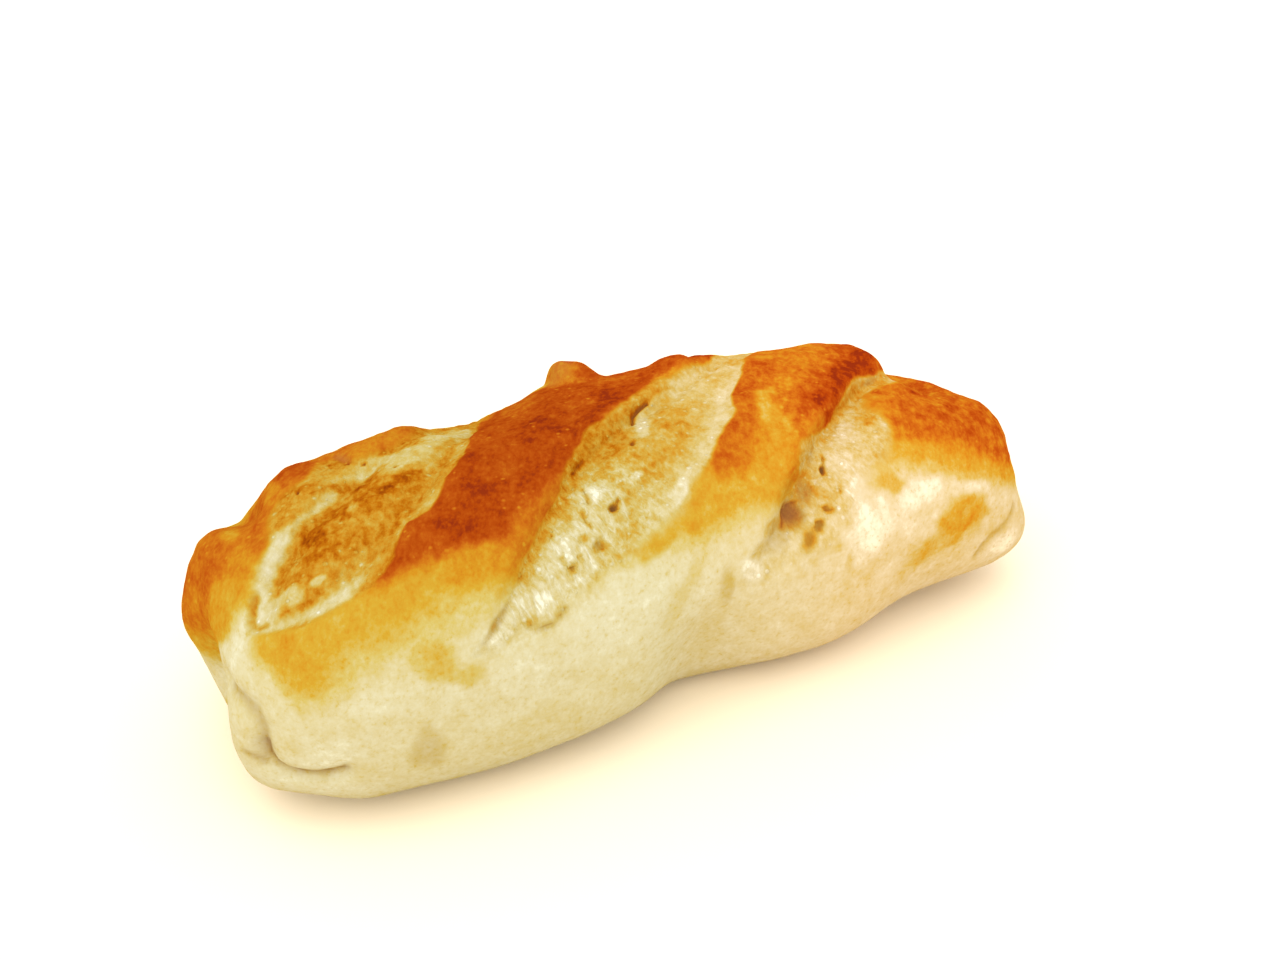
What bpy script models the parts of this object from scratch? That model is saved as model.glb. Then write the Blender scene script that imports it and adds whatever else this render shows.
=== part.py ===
"""A mini baguette: one small crusty loaf with three slanting scores, lying on its flat base.

The loaf is one solid. Its long axis is X, the shown flank faces -Y, and the origin is at the
middle of the base. A point of the surface is named by x, along the loaf, and by the girth, which
is the way round from the top line at mid-length, positive down the front. All sizes are in
millimetres and are turned to metres when the mesh is made.
"""

import math

import bmesh
import bpy
import numpy as np
from mathutils import noise

MM = 0.001

# Driving dimensions of the plain loaf, before its swellings. The cross-section is a rounded
# square whose widest level lies at BELLY_HEIGHT, and the powers say how square it and the ends are.
LENGTH = 160.0
WIDTH = 71.0
HEIGHT = 46.0
BELLY_HEIGHT = 20.7
CROSS_POWER = 2.3
NOSE_POWER = 3.1
NOSE_FULLNESS = 3.4

# The loaf bends forward at mid-length by BOW, and is thinner at the right end by TAPER. At the
# tips its widest level is down to TIP_BELLY of BELLY_HEIGHT.
BOW = 5.0
BOW_LEVEL = 0.4
TAPER = 0.032
TIP_BELLY = 0.8
GIRTH_PER_DEGREE = 0.5

# The mesh: rings from end to end, segments round, and how they crowd at the ends and the scores.
RINGS = 80
SEGMENTS = 74
NOSE_SPACING = 0.6
FINEST_GIRTH = 14.0
CROWDING = 0.35
PROFILE_STEPS = 720

# Each score runs from its low end, on the front flank, over the top to its high end at the back.
# "left" and "right" are how far its edges bulge from that line, "steep" and "soft" how wide its
# left and right walls are, and "crown" is the swelling of the crumb in the middle of its floor.
# "tip" is how far it has to open before it is at its full depth.
SCORES = {
    "left": {
        "low": (-72.5, 23.0), "high": (-11.4, -36.0), "left": 11.3, "right": 12.6,
        "power": 1.0, "skew": 0.65, "depth": 2.2, "steep": 5.5, "soft": 5.5, "crown": 1.6,
        "lip": 0.2, "overhang": 0.0, "tip": 0.5,
    },
    "middle": {
        "low": (-48.0, 40.5), "high": (44.0, -28.0), "left": 4.7, "right": 15.8,
        "power": 1.35, "skew": 0.93, "depth": 2.1, "steep": 4.5, "soft": 9.0, "crown": 1.0,
        "lip": 0.4, "overhang": 0.6, "tip": 0.5,
    },
    "right": {
        "low": (4.5, 38.5), "high": (67.0, -11.0), "left": 0.6, "right": 10.4,
        "power": 0.7, "skew": 0.75, "depth": 2.6, "steep": 4.5, "soft": 9.0, "crown": 0.0,
        "lip": 0.7, "overhang": 0.8, "tip": 1.0,
    },
}

# How wide a score's raised lip is, how much of the floor's width its crown takes, and how far down
# its left and right walls are already at its edges.
LIP_WIDTH = 2.0
CROWN_SHARE = 0.42
LEFT_START = 0.3
RIGHT_START = 0.2

# Swellings and hollows of the dough, each round a point of the plain loaf: x, girth, its reach
# along x, its reach across, and its height (below 0 for a hollow).
SWELLINGS = {
    "left end cap": (-72.5, -27.0, 4.2, 7.0, 2.6),
    "notch behind the cap": (-67.5, -24.0, 2.8, 5.5, -3.6),
    "left crust band": (-56.5, -22.0, 3.4, 8.0, 1.5),
    "notch in the left band": (-50.5, -15.7, 3.5, 5.0, -1.6),
    "left back strip": (-34.5, -22.0, 3.6, 6.0, 1.1),
    "left back hollow": (-22.0, -23.0, 8.0, 9.0, -3.4),
    "back ear": (-2.5, -28.5, 3.2, 4.2, 1.8),
    "middle back crust": (22.0, -21.0, 7.0, 7.0, 0.6),
    "right crust band": (56.0, -20.0, 8.0, 7.0, 2.1),
    "right band edge": (58.5, -8.0, 2.6, 5.0, 2.0),
    "right score hollow": (21.0, 29.5, 4.5, 4.0, -2.0),
    "right top dip": (66.5, -9.0, 4.2, 7.0, -6.8),
    "right saddle": (69.5, -18.0, 3.4, 6.0, -1.6),
    "right top slope": (69.0, 2.0, 4.0, 6.0, -0.6),
    "right shoulder": (76.0, 16.0, 6.0, 7.0, 1.6),
    "right end notch": (79.0, 40.0, 5.0, 5.0, -2.0),
    "right tail": (73.5, 54.0, 8.0, 6.0, 4.6),
    "left end tuck": (-80.0, 41.5, 6.0, 6.6, -4.6),
    "left end foot": (-76.0, 61.0, 3.5, 4.0, 1.3),
    "left cheek": (-79.5, -36.0, 4.0, 4.6, 1.8),
    "fold lobe": (-79.0, 47.0, 3.0, 4.5, 1.2),
    "left end back": (-80.0, -55.0, 5.0, 6.5, -2.6),
    "left front belly": (-44.0, 58.0, 24.0, 8.0, 1.9),
    "left front foot": (-62.0, 61.0, 4.0, 4.0, 0.7),
    "flank valley": (-2.0, 51.0, 6.5, 9.0, -4.0),
    "right front belly": (28.0, 58.0, 11.0, 8.0, 1.6),
    "right flank tuck": (46.0, 52.0, 7.0, 7.0, -1.0),
    "left lifted edge": (-17.0, 69.0, 9.0, 6.0, -3.4),
    "right lifted edge": (51.0, 69.0, 9.0, 6.0, -3.0),
}

# Blunter knobs of crust, with the same five values.
KNOBS = {
    "back ear": (2.6, -27.8, 3.4, 4.4, 5.2),
    "skyline knob": (20.0, -19.0, 2.4, 4.0, 1.0),
}
KNOB_POWER = 4

# The fold where the dough is tucked under at the left end, as x and girth along it.
FOLD = (
    (-78.9, 26.5), (-78.1, 32.4), (-76.2, 35.6), (-75.6, 40.0), (-75.9, 45.9),
    (-75.3, 49.9), (-73.5, 51.8), (-68.5, 51.8), (-65.3, 50.1),
)
FOLD_DEPTH = 1.4
FOLD_WIDTH = 1.4

# The slow unevenness of hand-shaped dough: how high it is and how far apart its lumps lie.
UNEVEN_HEIGHT = 0.9
UNEVEN_SPACING = 24.0

SMALLEST = 1e-6
FARTHEST = 1e3

CRUST_COLOUR = (0.62, 0.28, 0.06, 1.0)
CRUST_ROUGHNESS = 0.55


def ease(value):
    """0 below 0, 1 above 1, and a smooth step between."""
    value = np.clip(value, 0.0, 1.0)
    return value * value * (3.0 - 2.0 * value)


def bell(distance, reach):
    return np.exp(-0.5 * (distance / reach) ** 2)


def nose_scale(x):
    """How much of the full cross-section is left at x: 1 at mid-length, 0 at the tips."""
    along = np.clip(np.abs(x) / (LENGTH / 2), 0.0, 1.0)
    return (1.0 - along**NOSE_POWER) ** (1.0 / NOSE_FULLNESS)


def nose_slope(x):
    """How far the surface at x faces along the loaf: 0 at mid-length, 1 at the tips."""
    along = np.clip(np.abs(x) / (LENGTH / 2), 0.0, 1.0)
    left = np.maximum(1.0 - along**NOSE_POWER, SMALLEST)
    steepness = NOSE_POWER * along ** (NOSE_POWER - 1) * left ** (1.0 / NOSE_FULLNESS - 1.0)
    steepness = steepness * (WIDTH / LENGTH) / NOSE_FULLNESS
    return steepness / np.sqrt(1.0 + steepness**2)


def plain_loaf(x, girth, swelling=0.0):
    """The loaf without scores: a rounded section that closes at both ends, pushed out by swelling."""
    angle = np.radians(girth / GIRTH_PER_DEGREE)
    side = np.sin(angle)
    up = np.cos(angle)
    half_width = WIDTH / 2
    half_height = HEIGHT - BELLY_HEIGHT
    unit = np.abs(side / half_width) ** CROSS_POWER + np.abs(up / half_height) ** CROSS_POWER
    along = x / (LENGTH / 2)
    scale = nose_scale(x)
    outward = nose_slope(x)
    radius = unit ** (-1.0 / CROSS_POWER) * scale * (1.0 - TAPER * along)
    radius = radius + swelling * np.sqrt(1.0 - outward**2)
    y = -radius * side - BOW * (along**2 - BOW_LEVEL)
    z = radius * up + BELLY_HEIGHT * (TIP_BELLY + (1.0 - TIP_BELLY) * scale)
    return np.stack([x + np.sign(x) * outward * swelling + 0.0 * girth, y, z], axis=-1)


def score_frame(score, x, girth):
    """How open a score is beside a point, how far the point is inside its edges, and which way
    leads straight across it."""
    low = np.array(score["low"])
    reach = np.array(score["high"]) - low
    length = np.hypot(*reach)
    along = reach / length
    across = np.array([-along[1], along[0]])
    way = ((x - low[0]) * along[0] + (girth - low[1]) * along[1]) / length
    offset = (x - low[0]) * across[0] + (girth - low[1]) * across[1]
    turn = math.pi * np.clip(way, 0.0, 1.0) ** score["skew"]
    opening = np.maximum(np.sin(turn), 0.0) ** score["power"]
    inside_left = offset + score["left"] * opening
    inside_right = score["right"] * opening - offset
    return opening, inside_left, inside_right, across


def score_relief(score, x, girth):
    """The height that a score adds (below 0 on its floor), and how far it leans its left lip."""
    opening, inside_left, inside_right, across = score_frame(score, x, girth)
    left_wall = ease(inside_left / score["steep"] + LEFT_START)
    right_wall = ease(inside_right / score["soft"] + RIGHT_START)
    floor = left_wall * right_wall * ease(opening / score["tip"])
    width = np.maximum((score["left"] + score["right"]) * opening, 1.0)
    middle = bell((inside_left - inside_right) / width, CROWN_SHARE)
    lip = bell(inside_left + LIP_WIDTH, LIP_WIDTH) * ease(opening / score["tip"])
    height = score["lip"] * lip - floor * (score["depth"] - score["crown"] * middle)
    lean = score["overhang"] * bell(inside_left, LIP_WIDTH) * opening
    return height, lean * across[0], lean * across[1]


def fold_relief(points):
    """A groove along the fold, measured on the plain loaf's own surface."""
    stops = np.array(FOLD)
    line = plain_loaf(stops[:, 0], stops[:, 1])
    nearest = np.full(points.shape[:-1], FARTHEST)
    for start, end in zip(line[:-1], line[1:]):
        step = end - start
        share = np.clip(((points - start) @ step) / (step @ step), 0.0, 1.0)
        gap = np.linalg.norm(points - start - share[..., None] * step, axis=-1)
        nearest = np.minimum(nearest, gap)
    return -FOLD_DEPTH * bell(nearest, FOLD_WIDTH)


def swell(points):
    """The height that the swellings and hollows add at points of the plain loaf."""
    height = 0.0
    for x, girth, reach_x, reach_across, most in SWELLINGS.values():
        gap = points - plain_loaf(np.array(x), np.array(girth))
        across = np.hypot(gap[..., 1], gap[..., 2])
        height = height + most * bell(gap[..., 0], reach_x) * bell(across, reach_across)
    for x, girth, reach_x, reach_across, most in KNOBS.values():
        gap = points - plain_loaf(np.array(x), np.array(girth))
        reach = np.abs(gap[..., 0] / reach_x) ** KNOB_POWER
        reach = reach + np.abs(np.hypot(gap[..., 1], gap[..., 2]) / reach_across) ** KNOB_POWER
        height = height + most * np.exp(-0.5 * reach)
    return height


def unevenness(points):
    """Slow lumps and hollows all over the dough."""
    flat = points.reshape(-1, 3) / UNEVEN_SPACING
    height = [noise.noise(point) for point in flat]
    return UNEVEN_HEIGHT * np.reshape(height, points.shape[:-1])


def loaf_surface(x, girth):
    """The finished surface at x and girth, in millimetres, cut off flat at the base."""
    plain = plain_loaf(x, girth)
    swelling = unevenness(plain) + swell(plain) + fold_relief(plain)
    shift_x = 0.0
    shift_girth = 0.0
    for score in SCORES.values():
        height, lean_x, lean_girth = score_relief(score, x, girth)
        swelling = swelling + height
        shift_x = shift_x + lean_x
        shift_girth = shift_girth + lean_girth
    shifted = np.clip(x + shift_x, -LENGTH / 2, LENGTH / 2)
    points = plain_loaf(shifted, girth + shift_girth, swelling)
    points[..., 2] = np.maximum(points[..., 2], 0.0)
    return points


def ring_places(count):
    """x of each ring from tip to tip, closer together where the loaf's ends close."""
    turn = np.linspace(-math.pi / 2, math.pi / 2, PROFILE_STEPS + 1)
    x = LENGTH / 2 * np.sin(turn)
    closing = NOSE_SPACING * WIDTH / 2 * nose_scale(x)
    way = np.concatenate([[0.0], np.cumsum(np.hypot(np.diff(x), np.diff(closing)))])
    return np.interp(np.linspace(0.0, way[-1], count + 1), way, x)


def girth_places(angle):
    """The girth at each angle round the sphere, with the closest spacing on the scored side."""
    finest = np.radians(FINEST_GIRTH / GIRTH_PER_DEGREE)
    turned = angle - CROWDING * np.sin(angle - finest) - CROWDING * np.sin(finest)
    return GIRTH_PER_DEGREE * np.degrees(turned)


def make_loaf(collection):
    """A sphere with its poles at the loaf's ends, whose every vertex is moved to the surface."""
    work = bmesh.new()
    bmesh.ops.create_uvsphere(work, u_segments=SEGMENTS, v_segments=RINGS, radius=1.0)
    bmesh.ops.triangulate(work, faces=work.faces, quad_method="ALTERNATE")
    places = ring_places(RINGS)
    unit = np.array([vertex.co for vertex in work.verts], dtype=float)
    latitude = np.arccos(np.clip(unit[:, 2], -1.0, 1.0)) / math.pi
    x = np.interp(1.0 - latitude, np.linspace(0.0, 1.0, RINGS + 1), places)
    girth = girth_places(np.arctan2(-unit[:, 1], unit[:, 0]))
    points = loaf_surface(x, girth)
    centre = (points.min(axis=0) + points.max(axis=0)) / 2
    points = points - [centre[0], centre[1], 0.0]
    for vertex, point in zip(work.verts, points):
        vertex.co = point * MM
    if work.calc_volume(signed=True) < 0.0:
        bmesh.ops.reverse_faces(work, faces=work.faces)
    mesh = bpy.data.meshes.new("baguette")
    work.to_mesh(mesh)
    work.free()
    mesh.shade_smooth()
    loaf = bpy.data.objects.new("baguette", mesh)
    collection.objects.link(loaf)
    return loaf


def crust_material():
    """Baked crust: a warm brown with a low sheen."""
    material = bpy.data.materials.new("crust")
    material.use_nodes = True
    shader = material.node_tree.nodes["Principled BSDF"]
    shader.inputs["Base Color"].default_value = CRUST_COLOUR
    shader.inputs["Roughness"].default_value = CRUST_ROUGHNESS
    shader.inputs["Metallic"].default_value = 0.0
    return material


def clear_scene():
    for thing in list(bpy.data.objects):
        bpy.data.objects.remove(thing, do_unlink=True)


def main():
    clear_scene()
    collection = bpy.data.collections.new("mini baguette")
    bpy.context.scene.collection.children.link(collection)
    loaf = make_loaf(collection)
    loaf.data.materials.append(crust_material())


main()
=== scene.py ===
import math

import bmesh
import bpy
import numpy as np
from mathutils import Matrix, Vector, noise


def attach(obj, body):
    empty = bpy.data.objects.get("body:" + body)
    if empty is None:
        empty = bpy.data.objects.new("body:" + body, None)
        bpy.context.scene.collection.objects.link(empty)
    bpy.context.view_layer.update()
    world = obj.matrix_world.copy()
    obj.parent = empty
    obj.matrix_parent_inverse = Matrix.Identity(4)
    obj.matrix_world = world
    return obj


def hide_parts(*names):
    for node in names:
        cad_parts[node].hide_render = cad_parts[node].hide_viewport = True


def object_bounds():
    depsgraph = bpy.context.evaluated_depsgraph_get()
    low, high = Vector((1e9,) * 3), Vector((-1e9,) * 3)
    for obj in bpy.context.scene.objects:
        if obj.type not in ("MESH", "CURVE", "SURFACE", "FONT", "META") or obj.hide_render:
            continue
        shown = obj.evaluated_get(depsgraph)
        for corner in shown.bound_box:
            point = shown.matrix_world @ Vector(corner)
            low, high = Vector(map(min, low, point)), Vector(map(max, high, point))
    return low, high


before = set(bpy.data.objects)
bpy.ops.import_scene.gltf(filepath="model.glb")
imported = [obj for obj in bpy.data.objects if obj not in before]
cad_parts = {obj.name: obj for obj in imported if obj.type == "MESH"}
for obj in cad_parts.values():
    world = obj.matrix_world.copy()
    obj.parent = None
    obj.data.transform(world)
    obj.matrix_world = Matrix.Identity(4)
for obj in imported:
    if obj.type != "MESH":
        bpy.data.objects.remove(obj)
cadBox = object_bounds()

mm = 0.001  # sizes in the dictionaries are millimetres; the mesh is made in metres

# A place on the loaf is (x, girth): x along it, girth the way round from the top line at
# mid-length, positive down the front. The form repeats the CAD solid's own sizes.
loafForm = {
    "length": 160.0, "width": 71.0, "height": 46.0,
    "bellyHeight": 20.7, "tipBelly": 0.8,  # the widest level, and the share of it left at the tips
    "crossPower": 2.3,  # how square the section is
    "nosePower": 3.1, "noseFullness": 3.4,
    "bow": 5.0, "bowLevel": 0.4, "taper": 0.032,
    "baseRounding": 1.0,
    "girthPerDegree": 0.5,
    "unevenHeight": 0.9, "unevenSpacing": 24.0,
    "rings": 384, "segments": 256, "profileSteps": 2000,
    "noseSpacing": 0.6, "finestGirth": 14.0, "crowding": 0.42,
}

# scores run from the low end on the front flank over the top to the back
scores = {
    "left": {
        "low": (-72.5, 23.0), "high": (-11.4, -36.0), "left": 11.3, "right": 12.6,
        "power": 1.0, "skew": 0.65, "depth": 2.2, "steep": 5.5, "soft": 5.5, "crown": 1.6,
        "lip": 0.2, "overhang": 0.0, "tip": 0.5,
    },
    "middle": {
        "low": (-48.0, 40.5), "high": (44.0, -28.0), "left": 4.7, "right": 15.8,
        "power": 1.35, "skew": 0.93, "depth": 2.1, "steep": 4.5, "soft": 9.0, "crown": 1.0,
        "lip": 0.4, "overhang": 0.6, "tip": 0.5,
    },
    "right": {
        "low": (4.5, 38.5), "high": (67.0, -11.0), "left": 0.6, "right": 10.4,
        "power": 0.7, "skew": 0.75, "depth": 2.6, "steep": 4.5, "soft": 9.0, "crown": 0.0,
        "lip": 0.7, "overhang": 0.8, "tip": 1.0,
    },
}
# the wall starts are how far down a wall already is at the score's edge
scoreForm = {"lipWidth": 2.0, "crownShare": 0.42, "leftStart": 0.3, "rightStart": 0.2}

# x, girth, reach along x, reach across, height
swellings = {
    "leftEndCap": (-72.5, -27, 4.2, 7, 2.6),
    "notchBehindTheCap": (-67.5, -24, 2.8, 5.5, -3.6),
    "leftCrustBand": (-56.5, -22, 3.4, 8, 1.5),
    "notchInTheLeftBand": (-50.5, -15.7, 3.5, 5, -1.6),
    "leftBackStrip": (-34.5, -22, 3.6, 6, 1.1),
    "leftBackHollow": (-22, -23, 8, 9, -3.4),
    "backEar": (-2.5, -28.5, 3.2, 4.2, 1.8),
    "middleBackCrust": (22, -21, 7, 7, 0.6),
    "rightCrustBand": (56, -20, 8, 7, 2.1),
    "rightBandEdge": (58.5, -8, 2.6, 5, 2),
    "rightScoreHollow": (21, 29.5, 4.5, 4, -2),
    "rightTopDip": (66.5, -9, 4.2, 7, -6.8),
    "rightSaddle": (69.5, -18, 3.4, 6, -1.6),
    "rightTopSlope": (69, 2, 4, 6, -0.6),
    "rightShoulder": (76, 16, 6, 7, 1.6),
    "rightEndNotch": (79, 40, 5, 5, -2),
    "rightTail": (73.5, 54, 8, 6, 4.6),
    "leftEndTuck": (-80, 41.5, 6, 6.6, -4.6),
    "leftEndFoot": (-76, 61, 3.5, 4, 1.3),
    "leftCheek": (-79.5, -36, 4, 4.6, 1.8),
    "foldLobe": (-79, 47, 3, 4.5, 1.2),
    "leftEndBack": (-80, -55, 5, 6.5, -2.6),
    "leftFrontBelly": (-44, 58, 24, 8, 1.9),
    "leftFrontFoot": (-62, 61, 4, 4, 0.7),
    "flankValley": (-2, 51, 6.5, 9, -4),
    "rightFrontBelly": (28, 58, 11, 8, 1.6),
    "rightFlankTuck": (46, 52, 7, 7, -1),
    "leftLiftedEdge": (-17, 69, 9, 6, -3.4),
    "rightLiftedEdge": (51, 69, 9, 6, -3),
}

# blunter knobs of crust, with the same five values
knobs = {
    "backEar": (2.6, -27.8, 3.4, 4.4, 5.2),
    "skylineKnob": (20, -19, 2.4, 4, 1),
}
knobPower = 4

fold = {
    "line": (
        (-78.9, 26.5), (-78.1, 32.4), (-76.2, 35.6), (-75.6, 40), (-75.9, 45.9),
        (-75.3, 49.9), (-73.5, 51.8), (-68.5, 51.8), (-65.3, 50.1),
    ),
    "depth": 1.4, "width": 1.4,
}

# every lump reads one lattice of random heights
latticeSize, latticeSeed = 64, 7
lattice = np.random.default_rng(latticeSeed).uniform(-1.0, 1.0, (latticeSize,) * 3)
octaveFade = 0.55  # each octave's height, as a share of the one before
# lumps of dough, browning and crumb: spacing, a shift that tells them apart, octaves
lumpKinds = {
    "wide": (13.0, 3.1, 1), "broad": (5.0, 11.0, 1), "small": (1.9, 12.0, 1), "grain": (1.7, 9.9, 2),
}
# how much of each kind goes into what it makes uneven
lumpShares = {
    "fadeEdge": {"wide": 1.7, "broad": 1.1, "small": 0.5},  # mm, where the browning fades
    "patchEdge": {"broad": 0.28, "small": 0.24},  # of a patch's reach
    "rim": {"broad": 0.27, "small": 0.36},  # mm, the torn rims of the open crumb
    "pocketEdge": {"broad": 0.25, "small": 0.45},  # of a pocket's reach
    "crackEdge": {"small": 0.3},
    "crustGain": {"broad": 0.03}, "crustShift": {"broad": 0.009, "small": 0.02},
    "toast": {"broad": 0.05, "small": 0.05},
    "crustRelief": {"broad": 1.0, "small": 0.5},
    "crumbRelief": {"broad": 0.25, "grain": 0.22},  # mm
}
tiny, far = 1e-6, 1e3  # so that nothing is divided by 0, and a gap to begin from


def ease(value):
    value = np.clip(value, 0.0, 1.0)
    return value * value * (3.0 - 2.0 * value)


def between(value, start, end):
    return ease((value - start) / (end - start))


def bell(distance, reach):
    return np.exp(-0.5 * (distance / reach) ** 2)


def lumps(points, spacing, shift, octaves):
    total = 0.0
    for octave in range(octaves):
        place = points * 2.0**octave / spacing + shift
        corner = np.floor(place).astype(int)
        share = ease(place - corner)
        for step in np.ndindex(2, 2, 2):
            cell = (corner + step) % latticeSize
            weight = np.prod(np.where(step, share, 1.0 - share), axis=-1)
            height = lattice[cell[..., 0], cell[..., 1], cell[..., 2]]
            total = total + octaveFade**octave * weight * height
    return total


def uneven(kinds, use):
    return sum(share * kinds[name] for name, share in lumpShares[use].items())


def noseScale(x):
    along = np.clip(np.abs(x) / (loafForm["length"] / 2), 0.0, 1.0)
    return (1.0 - along ** loafForm["nosePower"]) ** (1.0 / loafForm["noseFullness"])


def noseSlope(x):
    power, fullness = loafForm["nosePower"], loafForm["noseFullness"]
    along = np.clip(np.abs(x) / (loafForm["length"] / 2), 0.0, 1.0)
    left = np.maximum(1.0 - along**power, tiny)
    steepness = power * along ** (power - 1) * left ** (1.0 / fullness - 1.0)
    steepness = steepness * (loafForm["width"] / loafForm["length"]) / fullness
    return steepness / np.sqrt(1.0 + steepness**2)


def plainLoaf(x, girth, swelling=0.0):
    angle = np.radians(girth / loafForm["girthPerDegree"])
    side, up = np.sin(angle), np.cos(angle)
    power = loafForm["crossPower"]
    halfHeight = loafForm["height"] - loafForm["bellyHeight"]
    unit = np.abs(side / (loafForm["width"] / 2)) ** power + np.abs(up / halfHeight) ** power
    along = x / (loafForm["length"] / 2)
    scale = noseScale(x)
    outward = noseSlope(x)
    radius = unit ** (-1.0 / power) * scale * (1.0 - loafForm["taper"] * along)
    radius = radius + swelling * np.sqrt(1.0 - outward**2)
    y = -radius * side - loafForm["bow"] * (along**2 - loafForm["bowLevel"])
    tip = loafForm["tipBelly"]
    z = radius * up + loafForm["bellyHeight"] * (tip + (1.0 - tip) * scale)
    return np.stack([x + np.sign(x) * outward * swelling + 0.0 * girth, y, z], axis=-1)


def slowLumps(points):
    flat = points.reshape(-1, 3) / loafForm["unevenSpacing"]
    height = [noise.noise(point) for point in flat]
    return loafForm["unevenHeight"] * np.reshape(height, points.shape[:-1])


def swell(points):
    height = 0.0
    for x, girth, reachX, reachAcross, most in swellings.values():
        gap = points - plainLoaf(np.array(x), np.array(girth))
        across = np.hypot(gap[..., 1], gap[..., 2])
        height = height + most * bell(gap[..., 0], reachX) * bell(across, reachAcross)
    for x, girth, reachX, reachAcross, most in knobs.values():
        gap = points - plainLoaf(np.array(x), np.array(girth))
        reach = np.abs(gap[..., 0] / reachX) ** knobPower
        reach = reach + np.abs(np.hypot(gap[..., 1], gap[..., 2]) / reachAcross) ** knobPower
        height = height + most * np.exp(-0.5 * reach)
    return height


def lineGap(points, stops):
    stops = np.array(stops)
    line = plainLoaf(stops[:, 0], stops[:, 1])
    nearest = np.full(points.shape[:-1], far)
    for start, end in zip(line[:-1], line[1:]):
        step = end - start
        share = np.clip(((points - start) @ step) / (step @ step), 0.0, 1.0)
        gap = np.linalg.norm(points - start - share[..., None] * step, axis=-1)
        nearest = np.minimum(nearest, gap)
    return nearest


def scoreRelief(score, x, girth):
    # height of the lip and floor, the lip's lean along x and round, how far a place is right of
    # the score's middle, and its offset from the score's line
    low = np.array(score["low"])
    reach = np.array(score["high"]) - low
    length = np.hypot(*reach)
    along = reach / length
    across = np.array([-along[1], along[0]])
    way = ((x - low[0]) * along[0] + (girth - low[1]) * along[1]) / length
    offset = (x - low[0]) * across[0] + (girth - low[1]) * across[1]
    turn = math.pi * np.clip(way, 0.0, 1.0) ** score["skew"]
    opening = np.maximum(np.sin(turn), 0.0) ** score["power"]
    inLeft = offset + score["left"] * opening
    inRight = score["right"] * opening - offset
    opened = ease(opening / score["tip"])
    leftWall = ease(inLeft / score["steep"] + scoreForm["leftStart"])
    rightWall = ease(inRight / score["soft"] + scoreForm["rightStart"])
    width = np.maximum((score["left"] + score["right"]) * opening, 1.0)
    middle = bell((inLeft - inRight) / width, scoreForm["crownShare"])
    lip = bell(inLeft + scoreForm["lipWidth"], scoreForm["lipWidth"]) * opened
    floor = leftWall * rightWall * opened
    height = score["lip"] * lip - floor * (score["depth"] - score["crown"] * middle)
    lean = score["overhang"] * bell(inLeft, scoreForm["lipWidth"]) * opening
    return height, lean * across[0], lean * across[1], inLeft - inRight, offset


# Browning runs from 0, floury dough, over 0.2, cream, and 0.5, gold, to 1, almost burnt.
flankTone = 0.175
goldTone = 0.5
bandTone = {"left": 0.71, "leftMiddle": 0.87, "rightMiddle": 0.68, "right": 0.75}
baseTone = 0.34
baseGirths = (71, 76)  # where the flank turns into the baked base
bandSoftness = 4.0  # how gradually one band's browning turns into the next
# at each x, the girths where the front of the crust is last brown, is gold and turns cream
frontFade = (
    (-80, -10, 12, 18), (-77, -10, 12, 18), (-74.5, -10, 8, 22),
    (-72, -10, 20, 34), (-70, -12, 28, 40), (-62, -12, 26.5, 38.5),
    (-54, 21, 25, 36), (-46, 19.5, 24.5, 34.5), (-38, 21, 26, 35.5),
    (-31, 23, 29, 35), (-16, 15, 24, 34), (0, 16, 24, 34),
    (10, 18, 26, 34), (20, 18, 28, 34), (30, 19, 25, 31),
    (44, 20, 26, 33), (54, 24, 30, 36.5), (62, 26.5, 32.5, 38.5),
    (70, 31, 36.5, 41), (80, 32, 37, 43),
)
backFade = (
    (-80, -50, -58, -66), (-77, -40, -48, -56), (-72, -25, -32, -39),
    (72, -25, -32, -39), (80, -40, -48, -56),
)

# the left end browns by height, and less towards the front: heights that are cream, gold, brown
leftEnd = {
    "from": -75.4, "to": -77.6, "lean": 0.93, "leanEnds": 3.5, "waver": 0.6,
    "cream": 18.4, "gold": 22.6, "brown": 28,
}

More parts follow.
